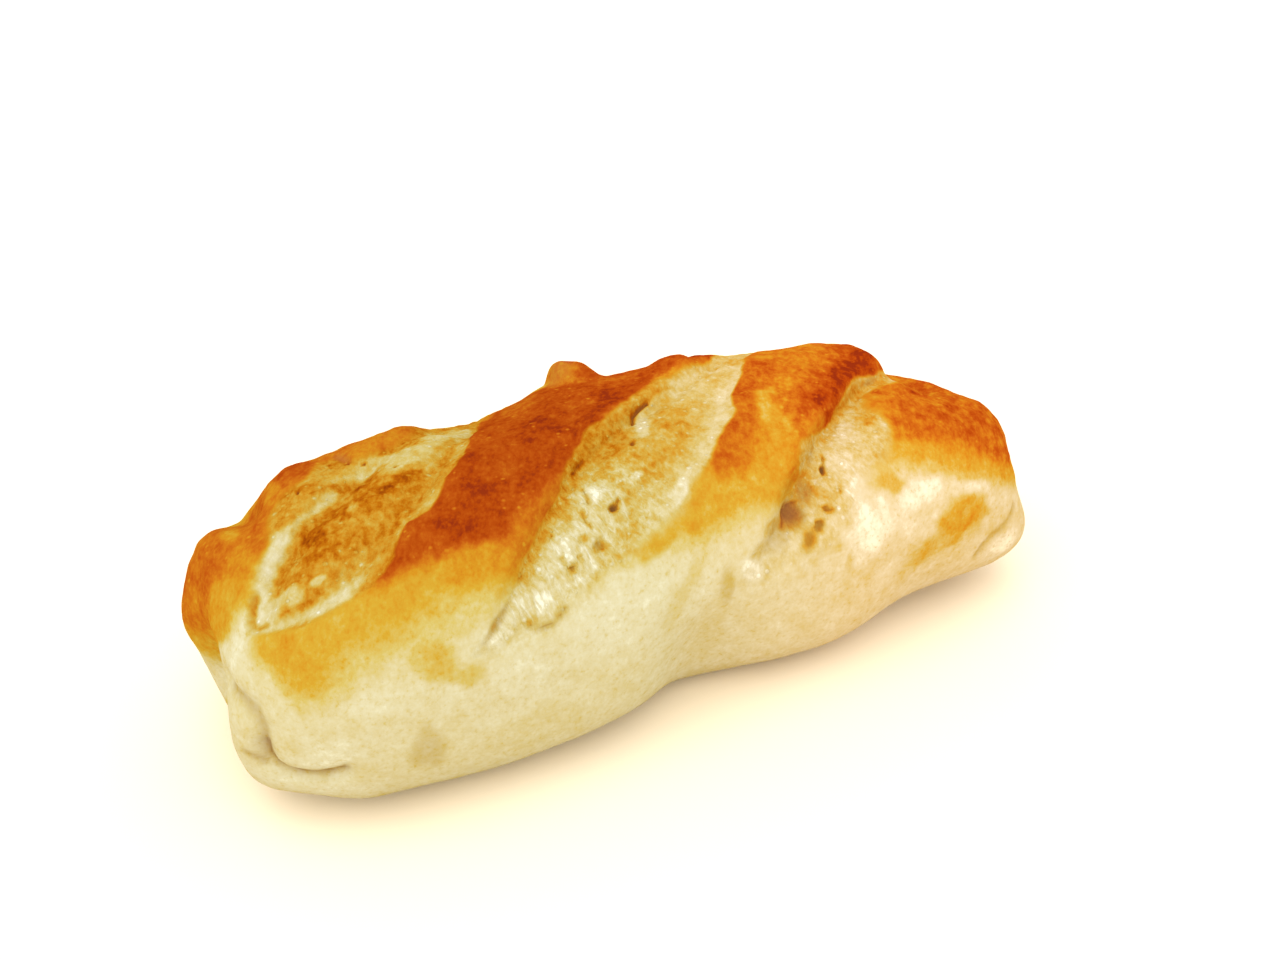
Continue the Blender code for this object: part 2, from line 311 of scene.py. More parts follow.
# x, girth, reach along x, reach round, turn in degrees, browning, strength
# a near-white patch of pale dough and painted highlight
whiteSpot = (7, 37.6, 2.2, 1.7, 20, 0.03, 0.9)  # it lies over the score's rim
crustCoats = {
    "capBrown": (-74.5, -15, 4, 9, 0, 0.76, 0.8),
    "capPale": (-70.3, -16, 1.5, 6, 0, 0.52, 0.6),
    "stripBrown": (-67, -14, 2.6, 12, 0, 0.75, 0.8),
    "leftBandBrown": (-56.5, -20, 3.6, 4.6, 20, 0.84, 0.9),
    "leftBandGold": (-61.5, -17, 1.6, 7, 0, 0.60, 0.7),
    "backStrip": (-41, -20.5, 9, 3.4, -22, 0.66, 0.95),
    "leftEndGold": (-76.5, 4, 3.4, 11, 0, 0.52, 0.8),
    "leftEndYellow": (-71.5, 2, 2.6, 7, 10, 0.58, 0.6),
    "goldUnderScore": (-63, 26, 11, 2.4, 0, 0.45, 0.9),
    "bandTopOrange": (-13, -22, 4, 6, 20, 0.72, 0.7),
    "bandPurple": (-15, -4, 7.5, 5.5, -55, 0.93, 0.85),
    "bandPurpleEdge": (-11, 1, 3, 3.4, -50, 0.99, 0.8),
    "bandPurpleTop": (2.5, -10.5, 5.5, 2.6, -45, 0.98, 0.8),
    "bandRedTop": (-5.5, -21, 1.8, 4, 10, 0.86, 0.7),
    "bandOrangeTop": (8, -20, 6, 3, 0, 0.74, 0.7),
    "bandRedLow": (-37, 15, 7, 4.5, -28, 0.91, 0.8),
    "bandOrangeRight": (-28.5, 21.5, 6, 2.6, -40, 0.73, 0.85),
    "bandYellowLow": (-40, 24.5, 7, 2.6, 0, 0.57, 0.8),
    "bandOrangeTip": (-33.5, 25.5, 3, 2.6, -40, 0.62, 0.7),
    "ear": (-0.6, -25.2, 4.4, 3.4, 0, 0.65, 0.9),
    "goldTongue": (-8.6, 30, 7, 1.5, -19, 0.44, 0.95),
    "tongueRoot": (3, 26.5, 6, 3.4, -35, 0.50, 0.9),
    "stripFoot": (10.5, 20, 5, 2.4, -38, 0.68, 0.8),
    "middleGold": (24, 13, 3.6, 7.6, 28, 0.55, 0.9),
    "middleYellow": (18, 22.5, 5.5, 3.2, -40, 0.54, 0.8),
    "middleTop": (36, -4, 6, 6, -35, 0.70, 0.7),
    "middleSkyline": (36, -13, 4, 3, 0, 0.55, 0.8),
    "endDip": (58, 3, 3, 2.6, -30, 0.56, 0.8),
    "endTop": (70.5, -9, 2.4, 6.5, 0, 0.78, 0.7),
    "endShade": (58.5, 10, 3.6, 2.2, -40, 0.80, 0.7),
    "endRed": (64, 18.5, 6, 4.2, -15, 0.77, 0.8),
    "endLeftGold": (48, 13, 3.4, 8, 20, 0.60, 0.85),
    "oliveArc": (39.5, 31.2, 3.6, 1.8, 20, 0.42, 0.95),
    "oliveFoot": (35.3, 31.2, 1.5, 1.4, 0, 0.33, 0.7),
    # whiteRight to whiteMiddle are near-white patches of pale dough and painted highlight
    "whiteRight": (45.5, 34, 6.5, 2.4, -8, 0.03, 0.95),
    "whiteLow": (32, 37.5, 3.4, 4, 20, 0.03, 0.95),
    "whiteBelow": (39, 38.5, 5, 3, 0, 0.08, 0.7),
    "whiteSpur": (58.5, 35.4, 5, 1.1, 14, 0.08, 0.8),
    "whiteMiddle": whiteSpot,
    "paleFlank": (-16, 38.5, 15, 5.6, -3, 0.12, 0.9),
    "paleLeft": (-53, 40, 9, 2.8, 8, 0.13, 0.7),
    "goldMid": (-49.5, 35.5, 4, 2.6, 20, 0.42, 0.8),
    "tanLow": (-53, 48, 3, 4.2, 0, 0.27, 0.8),
    "tanWide": (-34, 50, 9, 3.6, 0, 0.23, 0.6),
    # oliveMiddle is painted shade in a dent of the flank
    "oliveMiddle": (2.2, 39.4, 1.3, 2.6, 0, 0.33, 0.75),
    "paleLobe": (-67, 46.5, 5.5, 3.2, -20, 0.09, 0.9),
    "goldBeside": (-45, 38.6, 3, 1.6, 0, 0.38, 0.7),
    "orangeLow": (21.5, 25, 2.4, 3.4, 20, 0.63, 0.85),
    "yellowLow": (6, 27, 8, 2.2, -14, 0.46, 0.7),
    "paleTail": (66.5, 50.5, 4.5, 3, -20, 0.03, 0.9),
    "tailEdge": (73, 50, 2, 7, 0, 0.24, 0.6),
    "flankRight": (44, 45, 18, 5, 0, 0.25, 0.6),
    "lowShade": (-10, 62, 60, 5, 2, 0.235, 0.7),
    "earSpot": (2.5, -25.5, 1.4, 1.2, 0, 0.80, 0.7),
    "cloudA": (-60, 38.5, 4, 2.2, 0, 0.12, 0.7),
    "cloudB": (-37, 41, 5, 3, 10, 0.11, 0.7),
    "cloudC": (14, 43, 6, 2, -8, 0.13, 0.6),
    "cloudD": (36, 45, 5, 2.4, -20, 0.12, 0.6),
    "valleyTan": (0, 48, 3, 8, 0, 0.24, 0.6),
    "footLeft": (-70, 54.5, 10, 4, 0, 0.12, 0.9),
    "paleUnderBand": (-43.5, 31.5, 5, 1.8, -10, 0.32, 0.7),
    "fadeRed": (57.5, 10.5, 3, 1.6, -45, 0.84, 0.8),
    "peachRight": (62, 45, 7, 2.6, 10, 0.24, 0.7),
    "oliveSpotA": (24.6, 38.2, 1, 0.9, 0, 0.36, 0.8),
    "oliveSpotB": (26.7, 40.9, 0.7, 1.2, 0, 0.33, 0.7),
    "amberBody": (53.2, 41, 6.8, 4.5, -8, 0.48, 0.97),
    "amberFoot": (46.4, 44.2, 6.6, 3.4, -15, 0.42, 0.92),
    "amberHeart": (54.4, 41, 3.4, 2.3, -10, 0.54, 0.8),
    "earPale": (-4.8, -27.4, 1.8, 1.8, 0, 0.36, 0.8),
    "endSpotA": (59, 10.4, 1.5, 1.3, 0, 0.92, 0.8),
    "endSpotB": (64.3, 17.5, 2.6, 1.6, -15, 0.86, 0.8),
    "endSpotC": (64.8, 21.5, 2.2, 1.4, 0, 0.82, 0.7),
    "goldCorner": (-70.2, 25.4, 2.8, 1.7, 25, 0.58, 0.85),
}
crumbTone = {"left": 0.64, "middle": 0.37, "right": 0.25}
crumbCoats = {
    "shoulder": (-61, -8, 5, 6, -20, 0.53, 0.9),
    "shoulderTop": (-54, -15, 4, 5, -30, 0.46, 0.8),
    "upperPale": (-44.5, -13, 7, 3, -6, 0.28, 0.9),
    "upperWide": (-39, -9, 6, 5.5, -35, 0.29, 0.95),
    "topPale": (-29, -19, 4, 10, 35, 0.28, 0.95),
    "rightPale": (-30.5, -5, 1.8, 6, 30, 0.38, 0.8),
    "rightGold": (-37, 2.5, 2.8, 5.2, 25, 0.55, 0.9),
    "rightSoft": (-41, 8, 2.6, 4.4, 35, 0.57, 0.85),
    "brownHeart": (-60, 4.5, 2.4, 3.2, 0, 0.84, 0.9),
    "brownAbove": (-58.5, 0, 3.2, 2.2, -20, 0.74, 0.8),
    "brownLeft": (-64.4, 4.6, 2.4, 5, 10, 0.78, 0.92),
    "brownLow": (-61.5, 10.5, 2, 3, 0, 0.67, 0.8),
    "brownMiddle": (-53.5, 1.5, 4, 5.4, -30, 0.75, 0.88),
    "brownUpper": (-50.5, -6.4, 3.8, 4.6, 10, 0.68, 0.85),
    "brownRight": (-48.5, 0.5, 3, 3.2, 0, 0.70, 0.8),
    "orangeRight": (-44.5, 3, 4.4, 3, -20, 0.63, 0.8),
    "orangeBelow": (-50, 8.5, 7.5, 2.6, -8, 0.65, 0.8),
    "tanSpot": (-52.2, 1.5, 0.9, 2.4, 0, 0.46, 0.9),
    "goldLow": (-56.5, 17, 9, 4, 0, 0.54, 0.75),
    "paleLow": (-53.5, 18.8, 2.6, 1.4, -20, 0.40, 0.6),
    "paleFleck": (-61.8, 16.6, 1.6, 0.9, -20, 0.22, 0.9),
    "paleSpotLow": (-66.6, 17.2, 1.9, 2.4, 0, 0.24, 0.85),
    "tipPale": (-71, 18.5, 2.2, 4, 20, 0.15, 0.9),
    "lowerPale": (-25, 28.5, 14, 6.5, -30, 0.19, 1),
    "middlePale": (-14, 20.5, 4.2, 3.4, -20, 0.20, 0.9),
    "lowGold": (-19.5, 26.3, 1.4, 0.8, 0, 0.40, 0.8),
    "leftGold": (-8, 9.6, 8, 4.2, -42, 0.55, 0.9),
    "leftOrange": (-4.6, 6.4, 5, 2.6, -42, 0.63, 0.85),
    "middleGold": (-1.5, 15.5, 6, 4.4, -38, 0.45, 0.9),
    "heartGold": (5, 11, 6.4, 3.2, -45, 0.48, 0.85),
    "topGold": (9, 3, 3.2, 6, 20, 0.48, 0.85),
    "palePocket": (2.2, 3.4, 1.3, 5.4, 20, 0.18, 1),
    "paleTuft": (-6.4, 18.3, 1.5, 0.9, -20, 0.10, 0.8),
    "upperTan": (18, -6, 8, 4, -28, 0.32, 0.9),
    "skylineGold": (30.5, -14.5, 3, 3, 0, 0.47, 0.85),
    "yellowLow": (-8, 22.6, 5, 1.6, -20, 0.33, 0.7),
    "whiteStrip": (-0.6, 23.5, 4.8, 1.2, -42, 0.06, 0.85),
    # hollowTan, hollowShade and hollowSlope are painted shade in and around the right score's big
    # hollow
    "hollowTan": (23.4, 28.4, 2.4, 3, -20, 0.40, 0.85),
    "hollowShade": (18.4, 31.8, 3, 2.2, -12, 0.50, 0.9),
    "hollowSlope": (23.4, 27.6, 3.2, 2, -55, 0.53, 0.9),
    "hollowFoot": (11.5, 32.2, 3.4, 1.3, -8, 0.33, 0.8),
    "hollowEdge": (34, 18.4, 4.2, 1.6, -38, 0.42, 0.8),
    "upperStrip": (45, 9.8, 6, 2.4, -42, 0.44, 0.85),
    "topStrip": (54, 3.4, 5, 2.2, -28, 0.52, 0.9),
    "rightFadeGold": (44.6, 15, 3.4, 6.4, 30, 0.50, 0.9),
    "fadeGoldTop": (49, 7, 3.4, 2.6, -40, 0.52, 0.85),
    "upperCream": (38, 19.5, 2.2, 4.6, 30, 0.24, 0.8),
    "poreTan": (24.6, 32.4, 3.4, 1.8, -30, 0.30, 0.8),
    "lowWhite": (32.6, 30.6, 3.2, 2.2, -10, 0.07, 0.85),
    "whiteMiddle": whiteSpot,
    "lowCream": (14, 36, 4, 2, 0, 0.17, 0.7),
    "tipWhite": (-38, 33.6, 6, 2.6, -34, 0.15, 0.95),
    "lowHighlight": (-31, 33, 2.6, 1.6, -20, 0.10, 0.8),
    "strandWhiteA": (-16, 19.2, 2.6, 2, -10, 0.05, 0.8),
    "strandWhiteB": (-25, 27.4, 3, 1.8, -30, 0.07, 0.7),
    "yellowSoft": (-6, 26, 6, 2, -30, 0.22, 0.8),
    "creamUpper": (31, 26.4, 2.6, 2.2, -40, 0.12, 0.8),
    "creamPores": (21.5, 36, 4, 2.4, -20, 0.20, 0.7),
}

# seams of the dough: each is a line of shade and a fine crack
tailSeam = ((70.5, 43.4), (68.2, 45.2), (66, 46.4), (63, 46.9), (61.4, 48.5), (60.2, 50.4))
lobeSeam = ((-77.8, 48.4), (-77.3, 48.9), (-76.6, 49.6), (-76.1, 50.6))
# browning, half-width, strength, then the (x, girth) stops of a line
crustLines = {
    "scoreRidge": (0.22, 1.2, 0.8, (-74.2, 22), (-72.6, 17.4), (-70.9, 12.5), (-68.6, 6)),
    "bandEdge": (
        0.93, 1.5, 0.7, (-20, 12.6), (-16, 8), (-10, 2), (-3, -3), (3, -7),
        (10, -12.5),
    ),
    "bandTop": (
        0.86, 1.3, 0.6, (-20, -10), (-13, -14), (-4, -17), (7, -17), (14, -16),
    ),
    "middleRim": (0.62, 0.8, 0.9, (-4, 0.6), (4, -4.6), (13, -11.2), (20.5, -13.9), (29, -16.8)),
    "bandHem": (0.70, 1.1, 0.8, (-18, 13.5), (-26, 19.5), (-31.5, 24.5)),
    "stripRed": (0.80, 2.5, 0.95, (33, -9), (28.5, -4), (24.5, 1), (21.5, 6), (18.5, 10)),
    "stripOrange": (0.78, 2, 0.9, (18.5, 10), (15, 14.6), (11, 19)),
    "darkEdge": (
        0.92, 2.9, 0.95, (58, -14), (54.5, -8), (49.5, -1.5), (43.5, 4), (38, 9),
        (33, 13.5),
    ),
    "darkHeart": (1.00, 1.6, 0.8, (56, -7), (50.5, -1), (45, 3.4)),
    "rightLip": (0.64, 1.1, 0.9, (33, 14.5), (29.5, 17.4), (26, 20.6), (24, 23.4), (21.8, 26)),
    "paleSliver": (0.40, 0.5, 0.7, (28.4, 4), (26.8, 7), (25.6, 9.6)),
    "paleStroke": (0.50, 0.6, 0.6, (38, -3), (35, 1), (33, 4.5)),
    "foldShade": (
        0.22, 1.1, 0.5, (-78.7, 33.2), (-76.2, 38.6), (-76, 42), (-75.7, 45.7), (-75.4, 49.5),
        (-73.5, 51.6), (-69, 51.9),
    ),
    "tailSeam": (0.33, 0.5, 0.7, *tailSeam),
    # foldMouth and lobeCrease are painted shade along creases of the left end
    "foldMouth": (0.28, 0.45, 0.6, (-68.5, 51.8), (-67.3, 50.5), (-65.3, 50.1)),
    "lobeCrease": (0.26, 0.5, 0.6, *lobeSeam),
    "leftColumn": (0.10, 1.8, 0.95, (-73.4, 17), (-75.4, 20.6), (-76.6, 24)),
    "goldPatch": (
        0.51, 1.8, 0.95, (-71.9, 24), (-71.2, 25.4), (-70, 28.4), (-68.6, 30.6), (-67.2, 32),
    ),
    # flankCrease is painted shade along a soft crease in the flank
    "flankCrease": (0.28, 1.2, 0.85, (-2.6, 33.9), (-4, 36.2), (-7.6, 38.6), (-9, 41)),
    # the white streaks are pale dough and painted highlight
    "whiteStreakA": (0.00, 1.2, 0.95, (30.6, 32.4), (31.6, 35.4), (32.8, 39.6)),
    "whiteStreakB": (0.02, 0.9, 0.8, (35.6, 33), (36.2, 38.4)),
    "whiteStreakC": (0.05, 0.8, 0.7, (27.6, 36.6), (28.8, 40.6)),
    "yellowStroke": (0.48, 1.2, 0.5, (26.4, 5), (23.6, 12.6), (21, 19.6), (18.8, 24.6)),
    "brightStrokeA": (0.36, 0.45, 0.75, (27.2, 3.4), (26, 6.4)),
    "brightStrokeB": (0.38, 0.45, 0.7, (24.8, 8.4), (23.4, 12.4)),
    "brightStrokeC": (0.38, 0.45, 0.7, (26.2, 14.4), (24.8, 17.6)),
    "brightStrokeD": (0.40, 0.45, 0.6, (30.4, 2), (29, 5.6)),
}
crumbLines = {
    "leftRidge": (
        0.13, 1.2, 0.95, (-72.6, 19), (-71.2, 14.6), (-69.8, 10.4), (-68.4, 6.6), (-66.4, 2.6),
        (-64, -0.4),
    ),
    "ridgeTop": (0.26, 0.6, 0.9, (-64, -0.4), (-60.4, -3.4), (-57, -5.4), (-53.4, -8.6)),
    "lowHem": (0.22, 1.1, 0.9, (-72.4, 20.6), (-69.4, 22.2), (-65, 22.9), (-60, 22.2), (-56.5, 20.6)),
    "rightHem": (0.38, 0.7, 0.7, (-35, 4.6), (-38.5, 8.4), (-41.5, 10.8), (-45.6, 11.4), (-48.4, 14.6)),
    "goldStroke": (0.47, 0.6, 0.9, (-37.6, -2.6), (-34.6, -6), (-31.6, -10), (-29, -15)),
    "brownStreak": (0.84, 0.9, 0.95, (-46.4, 0.6), (-44.4, -0.2), (-42.6, -1.2), (-40.4, -2.8)),
    "brownTop": (0.74, 0.8, 0.7, (-48.2, -4), (-49.4, -7), (-51.6, -9.2)),
    "rimGold": (
        0.55, 1, 0.9, (-4, 1.6), (-0.6, -0.6), (3, -3.8), (7, -7.4), (11, -9.4),
        (16, -11.2),
    ),
    # edgeTan is toasted crumb with painted shade under the middle score's left rim
    "edgeTan": (
        0.64, 1.6, 0.88, (-33, 28.4), (-28.6, 24.2), (-24, 20.4), (-19.8, 16.6), (-16, 11.6),
        (-11, 6.4), (-7, 3),
    ),
    # tipShade is painted shade along the low tip of the middle score
    "tipShade": (0.42, 0.6, 0.8, (-41.4, 34.2), (-39, 33), (-36.6, 31.4), (-34.6, 29.8)),
    "rightFade": (
        0.21, 1.5, 0.9, (3.4, 20.8), (9, 15.6), (13, 12), (17, 8), (19.4, 3.4), (23, -1.6),
        (28, -6.4),
    ),
    "upperWhite": (0.22, 0.8, 0.7, (12, -8), (18, -10.4), (24, -12), (28.6, -12)),
    "lipShade": (
        0.50, 0.9, 0.85, (58, -0.6), (53, 1.4), (49, 3.8), (45.4, 7), (42, 11),
        (38.6, 14), (33, 17.4), (27.4, 19), (24, 22),
    ),
    "creamLine": (0.18, 1.2, 0.8, (30, 27.6), (33, 24.4), (36.6, 20.8), (40, 16), (42.6, 13)),
    # wallTan is toasted crumb with painted shade on the wall under the right score's overhanging rim
    "wallTan": (
        0.50, 1.4, 0.85, (40, 12.6), (36, 16.4), (31.6, 19.2), (28, 21.4), (25.2, 24.6),
        (23.4, 28),
    ),
}
# outlines of the open crumb: up the left side of each score, then down its right side
rims = {
    "left": (
        (-73.6, 20.6), (-73.4, 17.6), (-72.4, 14), (-71.4, 11), (-70.4, 8), (-69.2, 5), (-67.6, 2),
        (-66.2, -0.4), (-65.8, -3), (-65, -6), (-64.4, -9), (-63.4, -11.6), (-60.2, -13.2),
        (-57.8, -14.4), (-55.8, -14.6), (-54.8, -16.6), (-53.4, -19), (-51.2, -21.4), (-49, -21),
        (-48.4, -18.2), (-47.8, -16.2), (-44.6, -16.4), (-41.8, -17.2), (-38.8, -17.6), (-36.8, -18.8),
        (-35.2, -20.4), (-33, -23.2), (-30, -26.2), (-26, -30), (-20, -35), (-15, -33),
        (-20, -26), (-23, -20), (-25.2, -14), (-27.4, -9.4), (-28.4, -6), (-30, -2.6),
        (-31.6, 0), (-33.6, 2.8), (-36.2, 5), (-38, 8), (-39.6, 10.2), (-41.6, 12), (-43.6, 12.8),
        (-45.6, 12.2), (-47, 13.8), (-48.6, 16.2), (-50.4, 19), (-52.6, 21), (-55, 22.2),
        (-58.6, 23.4), (-62, 24), (-66, 24.2), (-69, 23.4), (-71.4, 22.6),
    ),
    "middle": (
        (-43.4, 36), (-41, 34.2), (-38.4, 32.6), (-36, 30.8), (-33.6, 29), (-32.2, 26.8),
        (-30, 25), (-27.4, 23), (-25, 20.8), (-22.6, 18.6), (-20.4, 16.6), (-19.2, 14.4),
        (-17.2, 12), (-15.4, 9.6), (-12.8, 7.6), (-11, 5.2), (-8.8, 3), (-6, 2), (-3.6, 0.6),
        (-1.4, -1), (0.6, -2.8), (3, -4.8), (5, -6.6), (7.6, -8.4), (10, -9.8), (13, -11),
        (16, -12), (19, -13.2), (22, -14.2), (25, -15.6), (28, -18), (31, -22),
        (40, -29), (44, -26), (37, -18), (33, -14), (31.6, -11.2), (30.4, -9),
        (28.2, -6), (26.4, -3.4), (24.4, -1), (22.8, 1), (21.4, 3), (20.4, 5.4), (19.4, 8),
        (17.8, 10.4), (15.4, 12), (13.4, 13.6), (11.6, 15.2), (9.6, 17.4), (8, 19.4), (6, 20.6),
        (4, 21.6), (2.4, 23), (0.4, 25), (-2, 26.8), (-5, 27.8), (-9, 28.4), (-12, 30),
        (-15, 31.2), (-20, 32.8), (-26.6, 34.6), (-30, 36), (-34.6, 35.8), (-40, 36.6),
    ),
    "right": (
        (4.6, 38.4), (7, 35.6), (10, 33), (12.2, 31.4), (15, 30.6), (18, 29.8), (20.4, 29.2),
        (21.6, 27.6), (23.8, 26), (23.2, 24.4), (23.2, 22.6), (24.2, 21), (25.6, 19.8), (27.6, 18.8),
        (30, 18), (32.2, 17.4), (34.6, 16.6), (36.6, 15.2), (38.4, 13.2), (40.4, 11.4), (42, 9.6),
        (43.6, 7.8), (45, 6), (47, 4.2), (49, 2.6), (51, 1.2), (53.2, 0.4), (55.6, -0.4),
        (58, -2), (60, -4.6), (63, -8.6), (67, -13), (69, -11), (66, -5), (62.6, 0),
        (59.6, 3), (57.4, 4.4), (55, 5), (52.4, 5.8), (49.8, 7.4), (47.6, 10), (46.2, 13),
        (46.6, 16.8), (46.2, 20.2), (44.2, 23.4), (41, 26), (37.6, 27.8), (34, 29.4), (31.4, 32),
        (28.6, 34.4), (25, 36.6), (22, 38), (18, 38.6), (13, 38.8), (8.4, 39.6),
    ),
}
# how far the crumb lies below its rims, and how soft they are: left, right, low at the right
rimLook = {
    "step": 0.3, "sideSoftness": 4, "toastReach": 3,
    "softness": {"left": (1.6, 1, 1), "middle": (1, 1.2, 3.4), "right": (1.2, 3.2, 3.6)},
    "lowFrom": 18, "lowTo": 26,
}

# x, girth, half-length, half-width, turn, depth, darkness of the painted shade inside it: pockets that
# open on the crumb
holes = {
    "upperMiddle": (-13, 23.1, 1.2, 0.9, -10, 0.7, 0.88),
    "upperMiddleTail": (-11.6, 22, 0.7, 0.4, -50, 0.3, 0.6),
    "lowerMiddle": (-18.1, 28.1, 1.3, 1.05, -20, 0.5, 0.58),
    "lowMiddle": (-23.9, 30, 0.95, 0.55, 0, 0.4, 0.7),
    "smallMiddle": (-22, 28.9, 0.45, 0.4, 0, 0.2, 0.5),
    "pinMiddle": (-24.9, 24.4, 0.3, 0.4, 0, 0.2, 0.6),
    "belowCrescent": (-2.6, 9.8, 0.5, 1.1, 30, 0.4, 0.65),
    "topRight": (28.3, 26.4, 1.4, 0.62, -60, 0.7, 0.9),
    "topRightTail": (29.5, 24.4, 0.9, 0.3, -60, 0.3, 0.6),
    "middleRight": (28.8, 30.2, 0.6, 0.5, 0, 0.3, 0.65),
    "bigRight": (18.8, 32, 2.3, 2, -35, 0.9, 0.5),
    "lowRightA": (25.1, 32.6, 1.05, 0.7, 10, 0.4, 0.66),
    "lowRightB": (22.6, 34.5, 1.35, 0.75, -36, 0.4, 0.68),
    "lowRightC": (19.8, 36.2, 1.5, 1, -30, 0.4, 0.58),
    "leftBand": (-58.4, -11, 0.35, 0.7, 0, 0.3, 0.7),
    "leftTopA": (-46, -14.9, 0.8, 0.25, 10, 0.3, 0.8),
    "leftTopB": (-42, -6.8, 0.35, 0.8, -20, 0.3, 0.75),
    "tanMiddle": (-20.2, 26.5, 1.1, 0.8, 0, 0.1, 0.18),
}
# depth, half-width, darkness of the painted shade along it, then the stops
cracks = {
    "crescent": (0.8, 0.34, 0.8, (1, 1.2), (1.6, -0.6), (3.4, -2.6), (6.6, -5)),
    "crescentEnd": (0.2, 0.3, 0.3, (6.8, -5.2), (9.6, -7.4), (13.4, -8.8)),
    "lowTip": (
        0.35, 0.34, 0.56, (-34.2, 34.9), (-33.2, 35.6), (-31.6, 36), (-30.1, 35.9), (-28.5, 35.4),
        (-27.3, 34.7),
    ),
    "tipA": (0.35, 0.36, 0.5, (-71.4, 12.4), (-72.1, 14.4), (-72.6, 16.4)),
    "tipB": (0.35, 0.36, 0.5, (-73, 17.4), (-73, 19.4), (-72.4, 20.4), (-71.4, 20.4)),
    "strandA": (0.3, 0.34, 0.6, (-16.1, 17.8), (-16.3, 19.9), (-16.6, 20.9)),
    "strandB": (0.3, 0.34, 0.6, (-18.2, 22.1), (-18.4, 23.9), (-17.9, 24.8)),
    "lipA": (0.3, 0.34, 0.55, (-16.3, 13.3), (-15, 12), (-13.2, 10.6)),
    "lipB": (0.3, 0.34, 0.5, (-24.9, 28.2), (-24.9, 29), (-24.4, 30), (-23.4, 30.2)),
    "tail": (0.35, 0.5, 0.25, *tailSeam),
    "lobeCrease": (0.3, 0.4, 0.4, *lobeSeam),
    "stripNotch": (0.5, 0.5, 0.25, (-48.6, -21.5), (-48.4, -18.6), (-48, -16.6)),
    "foldCrease": (
        0.3, 0.5, 0.6, (-75.9, 44.6), (-75.6, 48.2), (-74.8, 50.4), (-71.8, 51.8), (-68.2, 51.4),
        (-65.3, 50.1),
    ),
    "foldUpper": (
        0.1, 0.6, 0.35, (-78.6, 30), (-77.4, 34), (-76.1, 37), (-75.7, 41), (-75.9, 44.6),
    ),
    "hollowRim": (0.2, 0.4, 0.6, (15.4, 33.6), (16.3, 32.6), (17.1, 31.3), (19.2, 30.5), (21.3, 30.3)),
}
# x, girth, reach along x, reach round, turn, share: a greyer tan that no browning gives; mostly painted
# shade in hollows, creases, a dent and under a lip, and a tan patch on the ear and low on the left
# flank
shadesAndTans = {
    "hollow": (18.9, 32, 2.6, 2.2, -35, 0.5),
    "aboveTheHollow": (23.2, 29, 2.8, 1.3, -60, 0.32),
    "rightLip": (27.4, 23, 3.4, 0.8, -55, 0.25),
    "belowTheHollow": (13.8, 34.2, 4, 2, -20, 0.2),
    "rightTop": (53.5, 1.6, 3.6, 0.9, -35, 0.3),
    "ear": (-0.6, -25.6, 4.2, 2.6, 0, 0.12),
    "tanLow": (-53, 48, 2.8, 3.8, 0, 0.2),
    "middleTip": (-39, 33.4, 4, 0.6, -34, 0.35),
    "fold": (-76, 46.4, 1.6, 4.2, 0, 0.2),
    "flankDent": (2.2, 39.4, 1.6, 3, 0, 0.15),
}

# where the crumb is pulled into strands: x, girth, reach along x, reach round, turn, then the
# reach at which they begin to show, how fast they fill in, and how strong they are
strandPatches = {
    "middle": (-22.0, 26.0, 22.0, 12.0, -34.0, 2.1, 1.6, 1.0),
    "right": (33.0, 24.0, 16.0, 9.0, -38.0, 1.5, 1.0, 0.6),
}
patchLook = {"reach": 1.3, "softness": 0.75, "shadeAndTanSoftness": 0.9}
pocketForm = {"wall": 1.4, "shade": 1.5, "lip": 0.12, "lipAt": 1.6, "lipWidth": 0.3}
# height of the small lumps of crust, mm: at the palest, what browning adds, and where it does
cragForm = {"pale": 0.10, "browned": 0.26, "from": 0.15, "to": 0.65}


def patchGap(x, girth, x0, girth0, reachX, reachGirth, turn):
    angle = math.radians(turn)
    a = (x - x0) * math.cos(angle) + (girth - girth0) * math.sin(angle)
    b = (girth - girth0) * math.cos(angle) - (x - x0) * math.sin(angle)
    return np.hypot(a / reachX, b / reachGirth)


def inOutline(x, girth, stops):
    # distance to a closed outline, negative outside it
    inside = np.zeros(x.shape, dtype=bool)
    nearest = np.full(x.shape, far)
    for (x0, girth0), (x1, girth1) in zip(stops, stops[1:] + stops[:1]):
        stepX, stepGirth = x1 - x0, girth1 - girth0
        share = ((x - x0) * stepX + (girth - girth0) * stepGirth) / (stepX**2 + stepGirth**2)
        share = np.clip(share, 0.0, 1.0)
        gap = np.hypot(x - x0 - share * stepX, girth - girth0 - share * stepGirth)
        nearest = np.minimum(nearest, gap)
        if stepGirth:
            crossing = x < x0 + stepX * (girth - girth0) / stepGirth
            inside ^= ((girth0 > girth) != (girth1 > girth)) & crossing
    return np.where(inside, nearest, -nearest)


def addCoats(tone, x, girth, wobble, coats):
    for *place, level, strength in coats.values():
        gap = patchLook["reach"] + wobble - patchGap(x, girth, *place)
        tone = tone + strength * ease(gap / patchLook["softness"]) * (level - tone)
    return tone


def addLines(tone, plain, wobble, lines):
    for level, halfWidth, strength, *stops in lines.values():
        cover = strength * bell(lineGap(plain, stops) * (1.0 + wobble), halfWidth)
        tone = tone + cover * (level - tone)
    return tone


